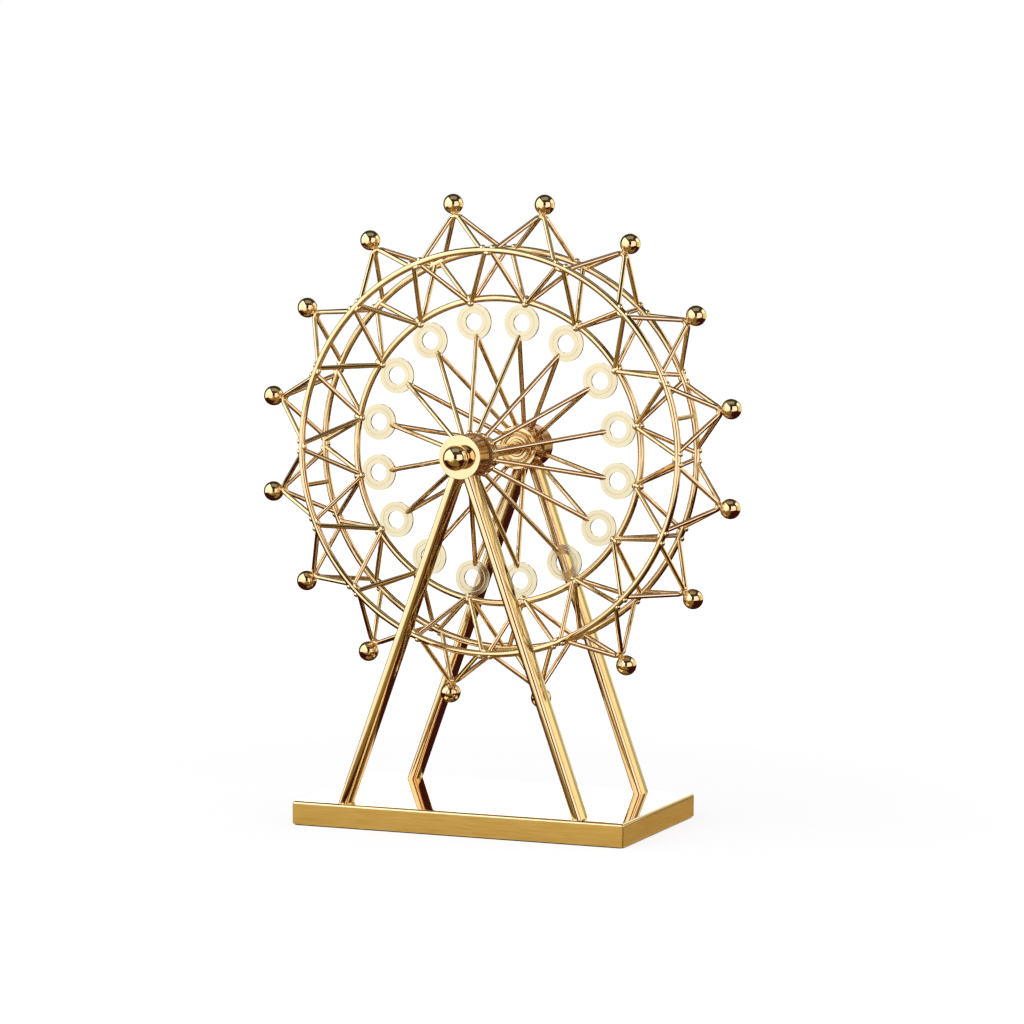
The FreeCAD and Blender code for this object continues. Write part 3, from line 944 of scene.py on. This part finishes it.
def base_cover():
    low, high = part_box("base_cover")
    cover = block(low, high)
    edit()
    pick("FACE", lambda centre, normal: normal.z < -0.9)
    bpy.ops.mesh.delete(type="FACE")
    pick("EDGE", lambda centre, direction: abs(direction.z) > 0.9)
    bpy.ops.mesh.bevel(offset=corner_bend, segments=6, profile=0.5)
    pick("EDGE", lambda centre, direction: centre.z > high.z - 0.01 * mm)
    bpy.ops.mesh.bevel(offset=sheet_bend, segments=7, profile=0.5)
    for side in (-1, 1):
        for line in (foot_reach - slot_field.x, foot_reach + slot_field.x):
            bpy.ops.mesh.select_all(action="SELECT")
            bpy.ops.mesh.bisect(plane_co=(side * line, 0, 0), plane_no=(1, 0, 0))
        for line in (foot_along - slot_field.y, foot_along + slot_field.y):
            bpy.ops.mesh.select_all(action="SELECT")
            bpy.ops.mesh.bisect(plane_co=(0, side * line, 0), plane_no=(0, 1, 0))
    done()
    wall = cover.modifiers.new("sheet", "SOLIDIFY")
    wall.thickness = sheet
    wall.offset = -1
    bpy.ops.object.modifier_apply(modifier=wall.name)
    for side_x in (-1, 1):
        for side_y in (-1, 1):
            corner = Vector((high.x * side_x, high.y * side_y, low.z - sheet))
            cut_away(cover, corner_seam(side_x, side_y, corner, high.z - sheet_bend - low.z + sheet))
            foot = Vector((foot_reach * side_x, (frame_outer + frame_inner) / 2 * side_y, high.z))
            slot_half = tenon / 2 + Vector((slot_play, slot_play, slot_play))
            cut_away(cover, cutter(block(foot - slot_half, foot + slot_half)))
    return cover


cover = base_cover()
cover.name = "gilt_base_cover"
finish_piece(cover, "stand", "satin_gold", gold_plate, "base_cover")

# %% [markdown]
# ## Two finishes on one sheet
#
# The top and its bends are polished like a mirror. The folded sides keep the fine level lines of the brushed
# sheet under a gold lacquer, so they look calm and matt beside it: only half of their light is mirrored. The
# lines are noise squeezed in height and drawn out along the side, and a cloudy patchiness comes from the same
# recipe as the other golds.

# %% Brushed sides
brushed_deep = (0.90, 0.51, 0.08, 1)
brushed_light = (1.00, 0.64, 0.15, 1)
gold_brushed = gilding(
    "brushed_gold", (0.40, 0.52), (0.01, 0.01, 1.2), 0.008, 0.02, brushed_deep, brushed_light, metal=0.5, streaks=14
)
cover.data.materials.append(gold_brushed)
for face in cover.data.polygons:
    if abs(face.normal.z) < 0.1:
        face.material_index = 1
print("brushed faces:", sum(face.material_index for face in cover.data.polygons))

# %% [markdown]
# ## What is under the gold
#
# The board inside the cover is raw fibre board: short pale and dark fibres pressed flat. The felt under it is a
# mat of dark fibres that stand up a little at the surface, so it gets some sheen and a fuzzy bump. Its edge is
# carried out to just inside the cover's outer faces and made ragged, so it shows as a dark ragged line under the
# cover. A cube is rounded at its corners, its top is inset and pulled up inside the cover, and its outer edge is
# divided and shaken a little. The bearing balls are bare steel.

# %% Fibre board, felt and steel


def fibre_board():
    finish, tree, shader, place = new_finish("fibre_board")
    fibres = patches(tree, stretched(tree, place, (1, 1, 4)), 900, 6)
    tree.links.new(blend(tree, fibres, (0.30, 0.19, 0.10, 1), (0.50, 0.36, 0.22, 1)), shader.inputs["Base Color"])
    tree.links.new(relief(tree, fibres, 0.6, 0.2 * mm), shader.inputs["Normal"])
    shader.inputs["Roughness"].default_value = 0.9
    return finish


def pressed_felt():
    finish, tree, shader, place = new_finish("pressed_felt")
    fuzz = patches(tree, stretched(tree, place, (1, 0.5, 1)), 1600, 8)
    tree.links.new(blend(tree, fuzz, (0.020, 0.015, 0.013, 1), (0.060, 0.050, 0.045, 1)), shader.inputs["Base Color"])
    tree.links.new(relief(tree, fuzz, 0.9, 0.3 * mm), shader.inputs["Normal"])
    shader.inputs["Roughness"].default_value = 1.0
    shader.inputs["Sheen Weight"].default_value = 0.4
    return finish


def bearing_steel():
    finish, tree, shader, place = new_finish("bearing_steel")
    shader.inputs["Metallic"].default_value = 1.0
    oily = patches(tree, place, 400)
    tree.links.new(blend(tree, oily, (0.56, 0.54, 0.50, 1), (0.70, 0.69, 0.66, 1)), shader.inputs["Base Color"])
    tree.links.new(spread(tree, oily, 0.06, 0.2), shader.inputs["Roughness"])
    return finish


def refinish(node, material):
    node.data.materials.clear()
    node.data.materials.append(material)
    print("new finish on", node.name)


refinish(nodes["base_board"], fibre_board())
refinish(nodes["bearing_balls"], bearing_steel())

# %% The felt
felt_edge = 0.55 * mm
felt_lip = 0.62 * mm
felt_corner = 3.0 * mm
felt_raggedness = 0.3 * mm


def felt_sheet():
    low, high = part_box("base_felt")
    cover_low, cover_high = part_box("base_cover")
    inset = Vector((felt_edge, felt_edge, 0))
    sheet_low = Vector((cover_low.x, cover_low.y, low.z)) + inset
    sheet_high = Vector((cover_high.x, cover_high.y, low.z + felt_lip)) - inset
    felt = block(sheet_low, sheet_high)
    edit()
    pick("EDGE", lambda centre, direction: abs(direction.z) > 0.9)
    bpy.ops.mesh.bevel(offset=felt_corner, segments=6, profile=0.5)
    pick("FACE", lambda centre, normal: normal.z > 0.9)
    bpy.ops.mesh.inset(thickness=sheet_high.x - high.x)
    bpy.ops.mesh.extrude_region_move(TRANSFORM_OT_translate={"value": (0, 0, high.z - sheet_high.z)})
    pick("EDGE", lambda centre, direction: centre.z > sheet_high.z - 0.01 * mm and centre.z < high.z - 0.3 * mm
         and max(abs(centre.x) - high.x, abs(centre.y) - high.y) > 1.0 * mm)
    bpy.ops.mesh.subdivide(number_cuts=60)
    bpy.ops.transform.vertex_random(offset=felt_raggedness, seed=7)
    return done()


felt = felt_sheet()
felt.name = "cut_felt"
finish_piece(felt, "stand", "dark_felt", pressed_felt(), "base_felt")

# %% [markdown]
# ## Camera
#
# It stands a little to the right and slightly above, far away with a long lens, so that the wheel hardly tapers.

# %% Camera
azimuth, elevation, roll = math.radians(21.52), math.radians(4.88), math.radians(0.40)
camera_distance = 2.353
target = Vector((0.0096, 0, 0.1839))
back = Vector((
    math.sin(azimuth) * math.cos(elevation), -math.cos(azimuth) * math.cos(elevation), math.sin(elevation)
))
level = Vector((math.cos(azimuth), math.sin(azimuth), 0))
upward = back.cross(level)
sideways = math.cos(roll) * level + math.sin(roll) * upward
bpy.ops.object.camera_add(location=target + back * camera_distance)
camera = bpy.context.object
camera.matrix_world = Matrix.Translation(camera.location) @ Matrix((sideways, back.cross(sideways), back)).transposed().to_4x4()
camera.data.sensor_width = 36
camera.data.lens = 140.84
camera.data.clip_end = 50
bpy.context.scene.camera = camera

# %% [markdown]
# ## The studio
#
# Gold looks like gold only when it has bright and dark things to mirror. So the studio is built round the object
# as a photographer would: long softboxes at the left and right, a low reflector in front, and flags between them,
# above and underneath. The flags are not black: they glow faintly in umber, olive, amber and bronze, a painted
# shade that tints the gold's dark reflections, and the cards underneath paint the reflection of a brown table.
# They show only in the gold. The floor and the backdrop stay plain and white, and the gold mirrors them too,
# between the flags. Places are given from the camera's side: right, away, up.

# %% Cards and lamps
stage_turn = Matrix.Rotation(azimuth, 4, "Z")


def glow(name, colour, strength, fade=0.0, soft=0.0):
    """Light of one colour. It fades towards one side by a share, and towards all edges over the share soft."""
    material = bpy.data.materials.new(name)
    material.use_nodes = True
    tree = material.node_tree
    tree.nodes.clear()
    place = add_node(tree, "ShaderNodeTexCoord").outputs["UV"]
    split = add_node(tree, "ShaderNodeSeparateXYZ")
    tree.links.new(place, split.inputs[0])
    amount = add_node(tree, "ShaderNodeMapRange")
    amount.inputs["To Min"].default_value = strength
    amount.inputs["To Max"].default_value = strength * (1 - fade)
    tree.links.new(split.outputs["Y"], amount.inputs["Value"])
    total = amount.outputs["Result"]
    for side in ("X", "Y"):
        if soft:
            inward = add_node(tree, "ShaderNodeMath", operation="PINGPONG")
            inward.inputs[1].default_value = 0.5
            tree.links.new(split.outputs[side], inward.inputs[0])
            edge = add_node(tree, "ShaderNodeMapRange", interpolation_type="SMOOTHSTEP")
            edge.inputs["From Max"].default_value = soft
            tree.links.new(inward.outputs[0], edge.inputs["Value"])
            product = add_node(tree, "ShaderNodeMath", operation="MULTIPLY")
            tree.links.new(total, product.inputs[0])
            tree.links.new(edge.outputs["Result"], product.inputs[1])
            total = product.outputs[0]
    light = add_node(tree, "ShaderNodeEmission")
    light.inputs["Color"].default_value = (*colour, 1)
    tree.links.new(total, light.inputs["Strength"])
    tree.links.new(light.outputs[0], add_node(tree, "ShaderNodeOutputMaterial").inputs["Surface"])
    return material


def card(name, corner, along, upwards, colour, strength, fade=0.0, lights_room=False, soft=0.0):
    """A flat card from one corner and two sides, in metres from the camera's side."""
    nothing_selected()
    bpy.ops.mesh.primitive_plane_add(size=1)
    made = bpy.context.object
    made.name = name
    corner, along, upwards = Vector(corner), Vector(along), Vector(upwards)
    middle_point = corner + (along + upwards) / 2
    shape = Matrix((along, upwards, along.cross(upwards).normalized())).transposed().to_4x4()
    made.matrix_world = stage_turn @ Matrix.Translation(middle_point) @ shape
    made.data.materials.append(glow(name, colour, strength, fade, soft))
    made.visible_camera = False
    made.visible_transmission = False
    made.visible_shadow = False
    made.visible_diffuse = lights_room
    return made


cool = (0.97, 1.0, 1.06)
rose = (1.0, 0.86, 1.0)
olive = (1.0, 1.0, 0.62)
straw = (1.0, 0.93, 0.66)
honey = (1.0, 0.86, 0.46)
bronze = (1.0, 0.80, 0.30)
brown = (1.0, 0.68, 0.22)
amber = (1.0, 0.60, 0.28)
umber = (1.0, 0.20, 0.16)
white = (1.0, 1.0, 1.0)
card("left_softbox", (-0.92, -4.0, 0), (0, 4.47, 0), (0, 0, 1.55), cool, 1.3, -0.6, True)
card("front_right_softbox", (0.42, -2.0, 0), (1.56, 0.9, 0), (0, 0, 1.4), rose, 1.6, 0.0, True)
card("back_right_softbox", (1.0, -0.22, 0), (0, 1.0, 0), (0, 0, 1.15), cool, 1.6, 0.1, True)
card("gold_right_strip", (0.998, -0.22, 0), (0, 0.50, 0), (0, 0, 0.60), honey, 0.85)
card("cream_right_strip", (0.998, 0.28, 0), (0, 0.64, 0), (0, 0, 0.60), straw, 1.2)
card("olive_right_strip", (0.998, 0.92, 0), (0, 0.40, 0), (0, 0, 0.46), olive, 0.50)
card("far_right_strip", (0.998, 1.32, 0), (0, 1.18, 0), (0, 0, 0.46), straw, 1.0, soft=0.15)
# A faint amber glow on the floor far behind: painted reflection of a table top, seen only in the gold.
card("far_table_reflection", (-0.92, 0.90, 0.0015), (4.2, 0, 0), (0, 1.7, 0), amber, 0.5, soft=0.2)
card("high_back_panel", (0.35, 2.66, 0.85), (1.3, 0, 0), (0, 0, 0.55), white, 1.2)
card("front_left_reflector", (-0.92, -2.6, 0.0015), (0.75, 0, 0), (0, 2.32, 0), cool, 1.3)
card("front_right_reflector", (0.16, -2.6, 0.001), (1.8, 0, 0), (0, 1.92, 0), rose, 1.4)
# The flags in front glow faintly in umber and bronze: painted shade in the gold's reflections.
card("lens_flag", (-0.55, -2.6, 0), (1.1, 0, 0), (0, 0, 1.6), umber, 0.03)
card("lens_flag_side", (-0.80, -2.59, 0), (0.28, 0, 0), (0, 0, 1.6), bronze, 0.35)
card("lens_floor_flag", (-0.17, -2.6, 0.002), (0.33, 0, 0), (0, 2.35, 0), bronze, 0.22)
card("lens_floor_side", (-0.34, -2.6, 0.0025), (0.20, 0, 0), (0, 2.30, 0), bronze, 0.50)
# side_gap_flag, back_left_flag, ceiling_flag and back_flag glow faintly in olive and amber: painted shade in the gold's
# reflections.
card("side_gap_flag", (1.1, -0.53, 0), (0.05, 0.25, 0), (0, 0, 1.3), olive, 0.07)
card("back_left_flag", (-0.92, 0.47, 0), (0.52, 2.1, 0), (0, 0, 1.6), olive, 0.05)
card("ceiling_flag", (-3, -2.7, 1.65), (6, 0, 0), (0, 5.4, 0), olive, 0.05)
card("ceiling_panel", (-0.7, -0.86, 1.64), (1.4, 0, 0), (0, 1.06, 0), white, 0.36)
card("back_flag", (-2.0, 2.7, 0), (6.0, 0, 0), (0, 0, 1.65), amber, 0.28)
card("backdrop_light", (-0.6, 2.62, 0.03), (1.2, 0, 0), (0, 0, 0.50), white, 1.7)
# Faint umber and brown glows on the floor round the base: painted reflection of a dark brown table, seen only in the
# gold.
card("table_reflection_flag", (-0.92, -0.68, 0.001), (4.2, 0, 0), (0, 3.28, 0), umber, 0.045)
card("table_reflection_brown", (-0.92, -0.32, 0.002), (1.08, 0, 0), (0, 0.22, 0), brown, 0.27, soft=0.08)

# %% [markdown]
# ## Floor and backdrop
#
# The floor is white and takes the object's soft shadow. Part of its white is its own light, which only the
# camera, mirrors and glass see, so no extra light falls on the object to make it white.

# %% Floor and world


def seen_directly(tree):
    """1 for rays from the camera, from a mirror and through glass, else 0."""
    path = add_node(tree, "ShaderNodeLightPath")
    first = add_node(tree, "ShaderNodeMath", operation="MAXIMUM")
    tree.links.new(path.outputs["Is Camera Ray"], first.inputs[0])
    tree.links.new(path.outputs["Is Glossy Ray"], first.inputs[1])
    second = add_node(tree, "ShaderNodeMath", operation="MAXIMUM")
    tree.links.new(first.outputs[0], second.inputs[0])
    tree.links.new(path.outputs["Is Transmission Ray"], second.inputs[1])
    return second.outputs[0]


def floor_material():
    material = bpy.data.materials.new("white_floor")
    material.use_nodes = True
    tree = material.node_tree
    tree.nodes.clear()
    place = add_node(tree, "ShaderNodeTexCoord").outputs["Object"]
    away = add_node(tree, "ShaderNodeVectorMath", operation="LENGTH")
    tree.links.new(place, away.inputs[0])
    white = add_node(tree, "ShaderNodeMapRange", interpolation_type="SMOOTHSTEP")
    white.inputs["From Min"].default_value = 0.25
    white.inputs["From Max"].default_value = 1.0
    white.inputs["To Min"].default_value = 0.76
    white.inputs["To Max"].default_value = 1.0
    tree.links.new(away.outputs["Value"], white.inputs["Value"])
    paint = add_node(tree, "ShaderNodeBsdfDiffuse")
    paint.inputs["Color"].default_value = (0.34, 0.34, 0.34, 1)
    own = add_node(tree, "ShaderNodeEmission")
    own.inputs["Color"].default_value = (1, 1, 1, 1)
    strength = add_node(tree, "ShaderNodeMath", operation="MULTIPLY")
    tree.links.new(seen_directly(tree), strength.inputs[0])
    tree.links.new(white.outputs["Result"], strength.inputs[1])
    tree.links.new(strength.outputs[0], own.inputs["Strength"])
    both = add_node(tree, "ShaderNodeAddShader")
    tree.links.new(paint.outputs[0], both.inputs[0])
    tree.links.new(own.outputs[0], both.inputs[1])
    tree.links.new(both.outputs[0], add_node(tree, "ShaderNodeOutputMaterial").inputs["Surface"])
    return material


nothing_selected()
bpy.ops.mesh.primitive_plane_add(size=12, location=(0, 0, -0.0001))
floor = bpy.context.object
floor.name = "floor"
floor.data.materials.append(floor_material())

room_light = 0.35
world = bpy.data.worlds.new("white_room")
bpy.context.scene.world = world
world.use_nodes = True
sky = world.node_tree.nodes["Background"]
sky.inputs["Color"].default_value = (1, 1, 1, 1)
strength = add_node(world.node_tree, "ShaderNodeMapRange")
strength.inputs["To Min"].default_value = room_light
strength.inputs["To Max"].default_value = 1.0
world.node_tree.links.new(seen_directly(world.node_tree), strength.inputs["Value"])
world.node_tree.links.new(strength.outputs["Result"], sky.inputs["Strength"])
bpy.context.scene.view_settings.view_transform = "Standard"
